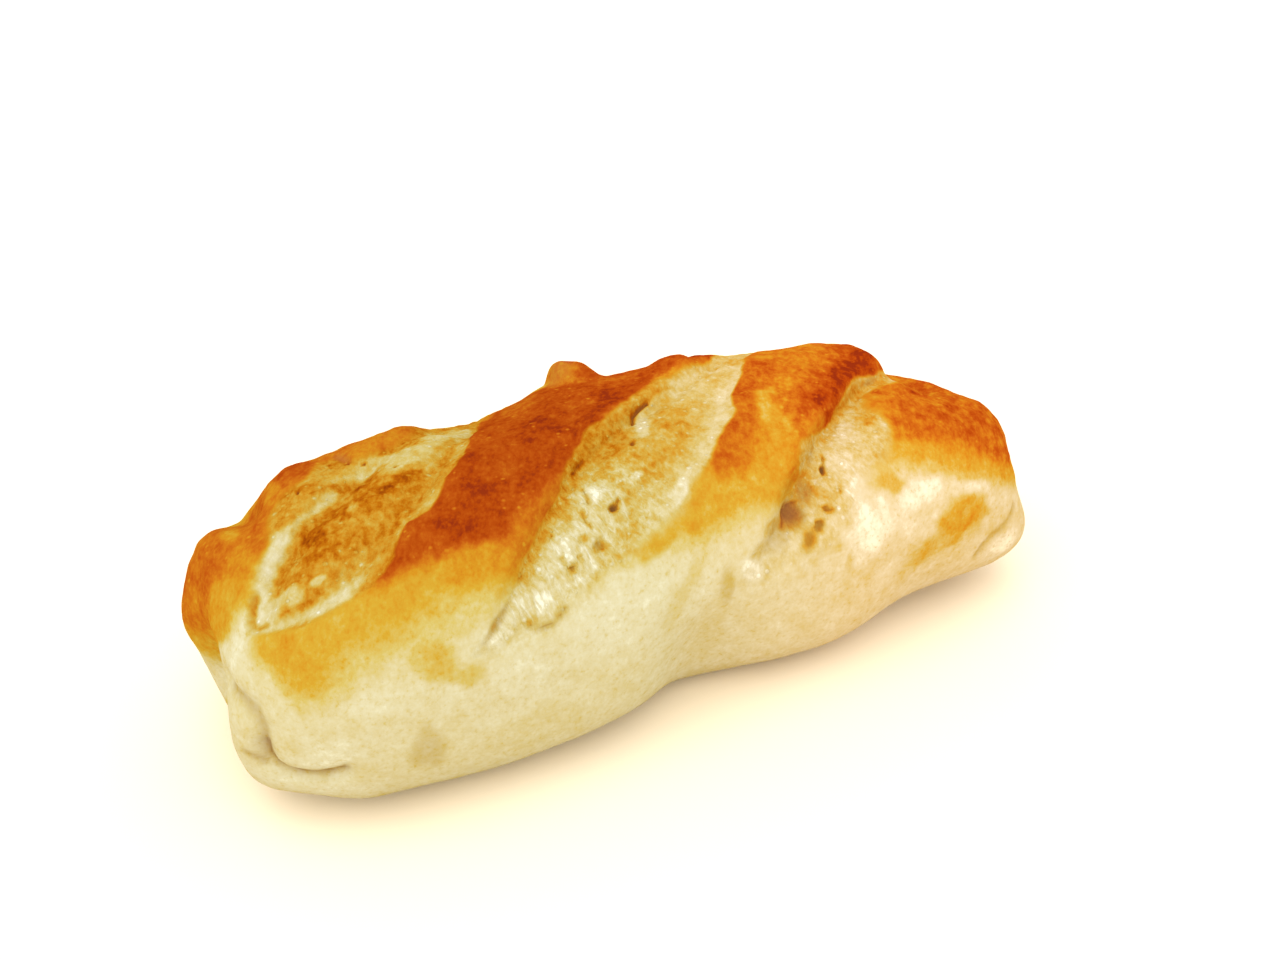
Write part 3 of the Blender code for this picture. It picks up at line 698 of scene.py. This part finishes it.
def crustTone(x, girth, plain, offsets, waver):
    drift = girth + waver
    fades = np.array(frontFade).T
    brown, gold, cream = (np.interp(x, fades[0], row) for row in fades[1:])
    fades = np.array(backFade).T
    backBrown, backGold, backCream = (-np.interp(x, fades[0], row) for row in fades[1:])
    peak = bandTone["left"]
    for name, band in (("left", "leftMiddle"), ("middle", "rightMiddle"), ("right", "right")):
        peak = peak + ease(offsets[name] / bandSoftness + 0.5) * (bandTone[band] - peak)
    tone = peak + (goldTone - peak) * between(drift, brown, gold)
    tone = tone + (flankTone - tone) * between(drift, gold, cream)
    tone = tone + (goldTone - tone) * between(-drift, backBrown, backGold)
    tone = tone + (flankTone - tone) * between(-drift, backGold, backCream)
    forward = np.minimum(plain[..., 1], leftEnd["leanEnds"])
    level = plain[..., 2] + leftEnd["lean"] * forward + leftEnd["waver"] * waver
    end = flankTone + (goldTone - flankTone) * between(level, leftEnd["cream"], leftEnd["gold"])
    end = end + (peak - goldTone) * between(level, leftEnd["gold"], leftEnd["brown"])
    tone = tone + (end - tone) * between(x, leftEnd["from"], leftEnd["to"])
    return tone + (baseTone - tone) * between(np.abs(girth), *baseGirths)


def rimSoftness(name, girth, rightward):
    left, right, lowRight = rimLook["softness"][name]
    right = right + (lowRight - right) * between(girth, rimLook["lowFrom"], rimLook["lowTo"])
    return left + (right - left) * ease(rightward / rimLook["sideSoftness"] + 0.5)


def pocketsAndCracks(x, girth, plain, kinds):
    # recessShade is painted shade in the pockets and along the cracks and creases
    height, recessShade = np.zeros_like(x), np.zeros_like(x)
    edge = 1.0 + uneven(kinds, "pocketEdge")
    for *place, depth, shadeDarkness in holes.values():
        gap = patchGap(x, girth, *place) * edge
        height = height - depth * ease(pocketForm["wall"] - gap)
        height = height + pocketForm["lip"] * bell(gap - pocketForm["lipAt"], pocketForm["lipWidth"])
        recessShade = np.maximum(recessShade, shadeDarkness * ease(pocketForm["shade"] - gap))
    for depth, halfWidth, shadeDarkness, *stops in cracks.values():
        groove = bell(lineGap(plain, stops) * (1.0 + uneven(kinds, "crackEdge")), halfWidth)
        height = height - depth * groove
        recessShade = np.maximum(recessShade, shadeDarkness * groove)
    return height, recessShade


def flattenBase(points):
    rounding = loafForm["baseRounding"]
    z = points[..., 2]
    rounded = (z + rounding) ** 2 / (4 * rounding)
    points[..., 2] = np.where(z > rounding, z, np.where(z < -rounding, 0.0, rounded))


def loafSurface(x, girth):
    plain = plainLoaf(x, girth)
    kinds = {name: lumps(plain, *form) for name, form in lumpKinds.items()}
    wobble = uneven(kinds, "patchEdge")
    foldGroove = bell(lineGap(plain, fold["line"]), fold["width"])
    swelling = slowLumps(plain) + swell(plain) - fold["depth"] * foldGroove
    shiftX, shiftGirth = 0.0, 0.0
    crumb = np.zeros_like(x)
    toast = np.full_like(x, crumbTone["left"])
    offsets = {}
    for name, score in scores.items():
        height, leanX, leanGirth, rightward, offsets[name] = scoreRelief(score, x, girth)
        swelling = swelling + height
        shiftX = shiftX + leanX
        shiftGirth = shiftGirth + leanGirth
        rimGap = inOutline(x, girth, rims[name]) + uneven(kinds, "rim")
        crumb = np.maximum(crumb, ease(rimGap / rimSoftness(name, girth, rightward) + 0.5))
        toast = np.where(rimGap > -rimLook["toastReach"], crumbTone[name], toast)

    tone = crustTone(x, girth, plain, offsets, uneven(kinds, "fadeEdge"))
    tone = addLines(addCoats(tone, x, girth, wobble, crustCoats), plain, wobble, crustLines)
    tone = tone * (1.0 + uneven(kinds, "crustGain")) + uneven(kinds, "crustShift")
    toast = addLines(addCoats(toast, x, girth, wobble, crumbCoats), plain, wobble, crumbLines)
    toast = toast + uneven(kinds, "toast")
    fibre = np.zeros_like(x)
    for *place, start, fall, most in strandPatches.values():
        fibre = np.maximum(fibre, most * crumb * ease(start - fall * patchGap(x, girth, *place)))
    # painted shade in hollows, creases and dents, with a few tan patches
    shadeAndTan = np.zeros_like(x)
    for *place, share in shadesAndTans.values():
        gap = patchLook["reach"] + wobble - patchGap(x, girth, *place)
        shadeAndTan = np.maximum(shadeAndTan, share * ease(gap / patchLook["shadeAndTanSoftness"]))

    craggy = cragForm["pale"] + cragForm["browned"] * between(tone, cragForm["from"], cragForm["to"])
    swelling = swelling + (1.0 - crumb) * craggy * uneven(kinds, "crustRelief")
    swelling = swelling + crumb * (uneven(kinds, "crumbRelief") - rimLook["step"])
    height, recessShade = pocketsAndCracks(x, girth, plain, kinds)
    half = loafForm["length"] / 2
    shiftedX = np.clip(x + shiftX, -half, half)
    points = plainLoaf(shiftedX, girth + shiftGirth, swelling + height)
    flattenBase(points)
    fields = {
        "browning": tone, "crumb": crumb, "toast": toast,
        "recessShade": recessShade, "fibre": fibre, "shadeAndTan": shadeAndTan,
    }
    return points, fields


def ringPlaces(count):
    turn = np.linspace(-math.pi / 2, math.pi / 2, loafForm["profileSteps"] + 1)
    x = loafForm["length"] / 2 * np.sin(turn)
    closing = loafForm["noseSpacing"] * loafForm["width"] / 2 * noseScale(x)
    way = np.concatenate([[0.0], np.cumsum(np.hypot(np.diff(x), np.diff(closing)))])
    return np.interp(np.linspace(0.0, way[-1], count + 1), way, x)


def girthPlaces(angle):
    finest = math.radians(loafForm["finestGirth"] / loafForm["girthPerDegree"])
    crowding = loafForm["crowding"]
    turned = angle - crowding * np.sin(angle - finest) - crowding * math.sin(finest)
    return loafForm["girthPerDegree"] * np.degrees(turned)


def placeInScene(name, data):
    thing = bpy.data.objects.new(name, data)
    bpy.context.scene.collection.objects.link(thing)
    return thing


def makeLoaf():
    # a sphere with its poles at the loaf's ends, whose every vertex is moved to the surface
    rings, segments = loafForm["rings"], loafForm["segments"]
    work = bmesh.new()
    bmesh.ops.create_uvsphere(work, u_segments=segments, v_segments=rings, radius=1.0)
    bmesh.ops.triangulate(work, faces=work.faces, quad_method="ALTERNATE")
    unit = np.array([vertex.co for vertex in work.verts], dtype=float)
    latitude = np.arccos(np.clip(unit[:, 2], -1.0, 1.0)) / math.pi
    x = np.interp(1.0 - latitude, np.linspace(0.0, 1.0, rings + 1), ringPlaces(rings))
    girth = girthPlaces(np.arctan2(-unit[:, 1], unit[:, 0]))
    points, fields = loafSurface(x, girth)
    cadMiddle = (np.array(cadBox[0]) + np.array(cadBox[1])) / 2 / mm
    middle = (points.min(axis=0) + points.max(axis=0)) / 2
    points = points - [middle[0] - cadMiddle[0], middle[1] - cadMiddle[1], 0.0]
    for vertex, point in zip(work.verts, points):
        vertex.co = point * mm
    if work.calc_volume(signed=True) < 0.0:
        bmesh.ops.reverse_faces(work, faces=work.faces)
    mesh = bpy.data.meshes.new("loaf")
    work.to_mesh(mesh)
    work.free()
    for name, values in fields.items():
        layer = mesh.attributes.new(name, "FLOAT", "POINT")
        layer.data.foreach_set("value", np.clip(values, 0.0, 1.0).astype(np.float32))
    mesh.shade_smooth()
    return placeInScene("loaf", mesh)


def toLinear(code, share=1.0):
    channels = [int(code[i:i + 2], 16) / 255 for i in (1, 3, 5)]
    linear = [c / 12.92 if c <= 0.04045 else ((c + 0.055) / 1.055) ** 2.4 for c in channels]
    return (*(share * c for c in linear), 1.0)


def perMm(spacing):
    return 1.0 / (spacing * mm)  # texture scale that repeats at this spacing


def addNode(tree, kind, settings={}, inputs=()):
    # inputs go by name, or in their order; a node among them is linked by its first output in use
    node = tree.nodes.new(kind)
    for name, value in settings.items():
        setattr(node, name, value)
    for name, value in inputs.items() if isinstance(inputs, dict) else enumerate(inputs):
        if isinstance(value, bpy.types.Node):
            value = next(socket for socket in value.outputs if socket.enabled)
        if isinstance(value, bpy.types.NodeSocket):
            tree.links.new(value, node.inputs[name])
        else:
            node.inputs[name].default_value = value
    return node


def fillRamp(ramp, stops):
    while len(ramp.elements) < len(stops):
        ramp.elements.new(0.5)
    for element, (place, code) in zip(ramp.elements, stops):
        element.position = place
        element.color = toLinear(code, lightShare if place else whiteShare)


# colours as they look in the studio light, which is 1 / lightShare brighter than white paper's
lightShare = 0.58
# the white end is given more light so that flour-white and the painted highlights reach pure white
whiteShare = 0.67  # the flour-white end of the browning
crustLook = {
    "ramp": (
        (0.00, "#FEFBE0"), (0.10, "#F5EBC4"), (0.20, "#ECDCA6"), (0.32, "#E4CB72"), (0.45, "#E1B33A"),
        (0.58, "#DF9A24"), (0.70, "#D87D1C"), (0.82, "#C85C14"), (0.92, "#B9480C"), (1.00, "#9C3412"),
    ),
    # how strong a pattern is: everywhere, by browning, and by browning towards the right end
    "unevenness": {"mottle": (0.21, 0.26, 0.38), "fine": (0.15, 0.20, 0.01)},
    "paleSpecks": {"slope": 0.5, "start": -0.17, "share": -0.7},  # more on the browned crust
    "darkSpecks": {"slope": -1.6, "start": 0.8, "share": 0.35, "colour": "#B98A48"},  # on the pale
    # how much browner the crust is drawn in the painted shade of its cracks and creases
    "recessShade": 0.15,
}
crumbLook = {
    "ramp": (
        (0.00, "#FFFAE0"), (0.10, "#F5E9C0"), (0.20, "#EBDAA2"), (0.32, "#E1C774"), (0.45, "#DEB044"),
        (0.58, "#DB992A"), (0.70, "#CF7C12"), (0.82, "#BE620A"), (1.00, "#96420A"),
    ),
    # how strong a pattern is: everywhere, and by the toasting or the strands
    "unevenness": {"blotch": (0.12, 0.65), "grain": (0.16, 0.6), "strands": (0.2, 0.5)},
    # the crumb is drawn browner in the painted shade of pockets and cracks
    "specks": -0.16, "recessShade": 0.55, "rimSharpness": 1.2,
    # hollow: painted shade, a dark brown in only the deepest pockets and cracks
    "hollow": {"slope": 2.2, "start": -0.95, "colour": "#8A5A2C"},  # only the deepest places
    # the greyish tan of the painted shade and tan patches
    "shadeAndTan": "#AC8758",
}
# the right end baked redder: x where that begins and is full, then what red, green and blue are
# multiplied by before and after
warmth = {"from": -10.0, "to": 32.0, "left": (0.98, 1.0, 0.98, 1.0), "right": (1.12, 1.0, 0.94, 1.0)}
# which way a pattern is turned, in radians, and drawn out: strands of gluten lie across the cuts
lies = {"crust": ((0.0, 0.0, -0.49), 1.6), "strand": ((0.87, 0.0, 0.32), 3.0)}
# noise: how it lies, spacing, detail, roughness, distortion
patterns = {
    "mottle": ("crust", 2.2, 5.0, 0.62, 0.0),
    "fine": ("crust", 0.75, 3.0, 0.6, 0.0),
    "blotch": ("crust", 2.2, 3.0, 0.6, 0.5),
    "grain": ("crust", 1.0, 2.0, 0.6, 0.0),
    "strands": ("strand", 1.0, 3.0, 0.6, 0.4),
    "skin": ("even", 0.9, 5.0, 0.6, 0.0),
}
# spots: spacing, most radius, softness
specks = {"crumb": (1.7, 0.55, 0.25), "pale": (2.0, 0.55, 0.35), "dark": (3.0, 0.25, 0.12)}
reliefLook = {
    "strength": 0.8, "depth": 0.3, "skin": 0.5, "skinOnCrumb": 0.6,
    "blotch": 1.2, "strands": 0.4, "specks": 0.5,
}
roughLook = {"pale": 0.70, "browned": -0.25, "crumb": 0.2}
operations = ("ADD", "SUBTRACT", "MULTIPLY", "MULTIPLY_ADD")
plus, less, times, scaled = (("ShaderNodeMath", {"operation": name}) for name in operations)
clamped = ("ShaderNodeMath", {"operation": "MULTIPLY_ADD", "use_clamp": True})


def makePatterns(tree, place):
    laid = {"even": place}
    for name, (turn, stretch) in lies.items():
        inputs = {"Vector": place, "Rotation": turn, "Scale": (1.0, stretch, 1.0)}
        laid[name] = addNode(tree, "ShaderNodeMapping", {"vector_type": "TEXTURE"}, inputs)
    made = {}
    for name, (lie, spacing, detail, rough, distortion) in patterns.items():
        inputs = {"Vector": laid[lie], "Scale": perMm(spacing), "Detail": detail}
        inputs.update({"Roughness": rough, "Distortion": distortion})
        made[name] = addNode(tree, "ShaderNodeTexNoise", {}, inputs)
    return made


def makeSpecks(tree, place):
    # each cell's colour gives its speck a radius of its own
    made = {}
    for name, (spacing, radius, softness) in specks.items():
        cells = addNode(tree, "ShaderNodeTexVoronoi", {}, {"Vector": place, "Scale": perMm(spacing)})
        chance = addNode(tree, "ShaderNodeSeparateColor", {}, {"Color": cells.outputs["Color"]})
        reach = addNode(tree, *times, (chance, radius / spacing))
        inside = addNode(tree, *less, (reach, cells.outputs["Distance"]))
        made[name] = addNode(tree, *clamped, (inside, spacing / softness, 0.0))
    return made


def addSway(tree, tone, pattern, share):
    # a pattern swings the tone to both sides by half the share
    swing = addNode(tree, *less, (pattern, 0.5))
    return addNode(tree, *scaled, (swing, share, tone))


def crustLevel(tree, fields, made, pale):
    span = {"Value": fields["along"], "From Min": warmth["from"] * mm, "From Max": warmth["to"] * mm}
    rightward = addNode(tree, "ShaderNodeMapRange", {}, span)
    tone = fields["browning"]
    for name, (least, browned, right) in crustLook["unevenness"].items():
        share = addNode(tree, *scaled, (rightward, right, browned))
        share = addNode(tree, *scaled, (fields["browning"], share, least))
        tone = addSway(tree, tone, made[name], share)
    look = crustLook["paleSpecks"]
    shown = addNode(tree, *clamped, (fields["browning"], look["slope"], look["start"]))
    shown = addNode(tree, *times, (pale, shown))
    tone = addNode(tree, *scaled, (shown, look["share"], tone))
    # painted shade: cracks and creases drawn browner
    tone = addNode(tree, *scaled, (fields["recessShade"], crustLook["recessShade"], tone))
    return tone, rightward


def crumbLevel(tree, fields, made, spots):
    level = fields["toast"]
    for name, (least, more) in crumbLook["unevenness"].items():
        driver = fields["fibre" if name == "strands" else "toast"]
        share = addNode(tree, *scaled, (driver, more, least))
        level = addSway(tree, level, made[name], share)
    level = addNode(tree, *scaled, (spots, crumbLook["specks"], level))
    return addNode(tree, *scaled, (fields["recessShade"], crumbLook["recessShade"], level))


def breadRelief(tree, fields, made, spots):
    crumb, look = fields["crumb"], reliefLook
    share = addNode(tree, *scaled, (crumb, look["skinOnCrumb"], look["skin"]))
    skin = addNode(tree, *times, (made["skin"], share))
    share = addNode(tree, *plus, (fields["fibre"], look["strands"]))
    torn = addNode(tree, *times, (made["strands"], share))
    torn = addNode(tree, *scaled, (made["blotch"], look["blotch"], torn))
    torn = addNode(tree, *scaled, (spots, look["specks"], torn))
    height = addNode(tree, *scaled, (torn, crumb, skin))
    inputs = {"Strength": look["strength"], "Distance": look["depth"] * mm, "Height": height}
    return addNode(tree, "ShaderNodeBump", {}, inputs)


def crustAndCrumb():
    # baked wheat crust: dry, faintly waxy; open crumb: matte and fibrous
    material = bpy.data.materials.new("baked wheat crust and crumb")
    material.use_nodes = True
    tree = material.node_tree
    tree.nodes.clear()
    place = addNode(tree, "ShaderNodeTexCoord").outputs["Object"]
    fields = {"along": addNode(tree, "ShaderNodeSeparateXYZ", {}, {"Vector": place}).outputs["X"]}
    for name in ("browning", "crumb", "toast", "recessShade", "fibre", "shadeAndTan"):
        fields[name] = addNode(tree, "ShaderNodeAttribute", {"attribute_name": name}).outputs["Fac"]
    made = makePatterns(tree, place)
    spots = makeSpecks(tree, place)
    crust, rightward = crustLevel(tree, fields, made, spots["pale"])
    crumb = crumbLevel(tree, fields, made, spots["crumb"])

    # rims blend in level before they are coloured, so that they pass through gold
    notCrumb = addNode(tree, *less, (1.0, fields["crumb"]))
    edge = addSway(tree, fields["crumb"], made["fine"], notCrumb)
    sharpness = crumbLook["rimSharpness"]
    edge = addNode(tree, *clamped, (edge, sharpness, 0.5 - 0.5 * sharpness))
    level = addNode(tree, "ShaderNodeMix", {"data_type": "FLOAT"}, {0: edge, 2: crust, 3: crumb})
    ramps = []
    for look in (crustLook, crumbLook):
        ramps.append(addNode(tree, "ShaderNodeValToRGB", {}, {"Fac": level}))
        fillRamp(ramps[-1].color_ramp, look["ramp"])

    look = crustLook["darkSpecks"]
    dark = addNode(tree, *clamped, (fields["browning"], look["slope"], look["start"]))
    dark = addNode(tree, *times, (spots["dark"], dark))
    dark = addNode(tree, *times, (dark, look["share"]))
    inputs = {0: rightward, 6: warmth["left"], 7: warmth["right"]}
    warm = addNode(tree, "ShaderNodeMix", {"data_type": "RGBA"}, inputs)
    # painted shade: grey tan along the crust's cracks and creases and in the listed hollows, dark brown
    # in the deepest pockets
    shadeAndTanShare = addNode(tree, *clamped, (notCrumb, fields["recessShade"], fields["shadeAndTan"]))
    deepShade = crumbLook["hollow"]
    deepShadeShare = addNode(tree, *clamped, (fields["recessShade"], deepShade["slope"], deepShade["start"]))
    colour = ramps[0].outputs["Color"]
    for share, over, blend in (
        (dark, toLinear(look["colour"], lightShare), "MIX"),
        (edge, ramps[1], "MIX"),
        (1.0, warm, "MULTIPLY"),
        (shadeAndTanShare, toLinear(crumbLook["shadeAndTan"], lightShare), "MIX"),
        (deepShadeShare, toLinear(deepShade["colour"], lightShare), "MIX"),
    ):
        settings = {"data_type": "RGBA", "blend_type": blend}
        colour = addNode(tree, "ShaderNodeMix", settings, {0: share, 6: colour, 7: over})

    rough = addNode(tree, *scaled, (fields["browning"], roughLook["browned"], roughLook["pale"]))
    rough = addNode(tree, *scaled, (fields["crumb"], roughLook["crumb"], rough))
    inputs = {"Base Color": colour, "Roughness": rough, "Specular IOR Level": 0.0}
    inputs["Normal"] = breadRelief(tree, fields, made, spots["crumb"])
    shader = addNode(tree, "ShaderNodeBsdfPrincipled", {}, inputs)
    addNode(tree, "ShaderNodeOutputMaterial", {}, {"Surface": shader})
    return material


studio = {
    "floorSize": 6.0,  # metres, unlike the rest
    "board": "#F8EAD0", "worldStrength": 1.38,
    "sun": {"from": (-0.35, -0.3, 0.9), "angle": 70.0, "strength": 1.3},
    "lens": 35.16, "sensor": 36.0, "nearest": 10.0,
    "azimuth": -28.2, "pitch": 31.0, "distance": 259.0, "target": (12.67, 17.6, 19.0),
}


def boardPaint():
    # warm white studio board: matte paint, glows a little warm where the loaf shades it
    material = bpy.data.materials.new("matte white board")
    material.use_nodes = True
    shader = material.node_tree.nodes["Principled BSDF"]
    shader.inputs["Base Color"].default_value = toLinear(studio["board"])
    shader.inputs["Roughness"].default_value = 0.9
    shader.inputs["Specular IOR Level"].default_value = 0.1
    return material


def makeFloor():
    work = bmesh.new()
    bmesh.ops.create_grid(work, x_segments=1, y_segments=1, size=studio["floorSize"] / 2)
    mesh = bpy.data.meshes.new("floor")
    work.to_mesh(mesh)
    work.free()
    mesh.materials.append(boardPaint())
    return placeInScene("floor", mesh)


def makeStudio():
    world = bpy.data.worlds.new("studio")
    world.use_nodes = True
    background = world.node_tree.nodes["Background"]
    background.inputs["Color"].default_value = (1.0, 1.0, 1.0, 1.0)
    background.inputs["Strength"].default_value = studio["worldStrength"]
    bpy.context.scene.world = world
    data = bpy.data.lights.new("sun", "SUN")
    data.angle = math.radians(studio["sun"]["angle"])
    data.energy = studio["sun"]["strength"]
    sun = placeInScene("sun", data)
    sun.rotation_euler = Vector(studio["sun"]["from"]).to_track_quat("Z", "Y").to_euler()
    bpy.context.scene.view_settings.view_transform = "Standard"


def makeCamera():
    data = bpy.data.cameras.new("camera")
    data.lens = studio["lens"]
    data.sensor_width = studio["sensor"]
    data.clip_start = studio["nearest"] * mm
    camera = placeInScene("camera", data)
    azimuth, pitch = math.radians(studio["azimuth"]), math.radians(studio["pitch"])
    level = math.cos(pitch)
    back = Vector((math.sin(azimuth) * level, -math.cos(azimuth) * level, math.sin(pitch)))
    camera.location = (Vector(studio["target"]) + back * studio["distance"]) * mm
    camera.rotation_euler = back.to_track_quat("Z", "Y").to_euler()
    bpy.context.scene.camera = camera


makeStudio()
makeCamera()
makeFloor()
print("studio ready")
loaf = makeLoaf()
loaf.data.materials.append(crustAndCrumb())
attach(loaf, "root")
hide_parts("baguette")
print("loaf ready:", len(loaf.data.polygons), "triangles")
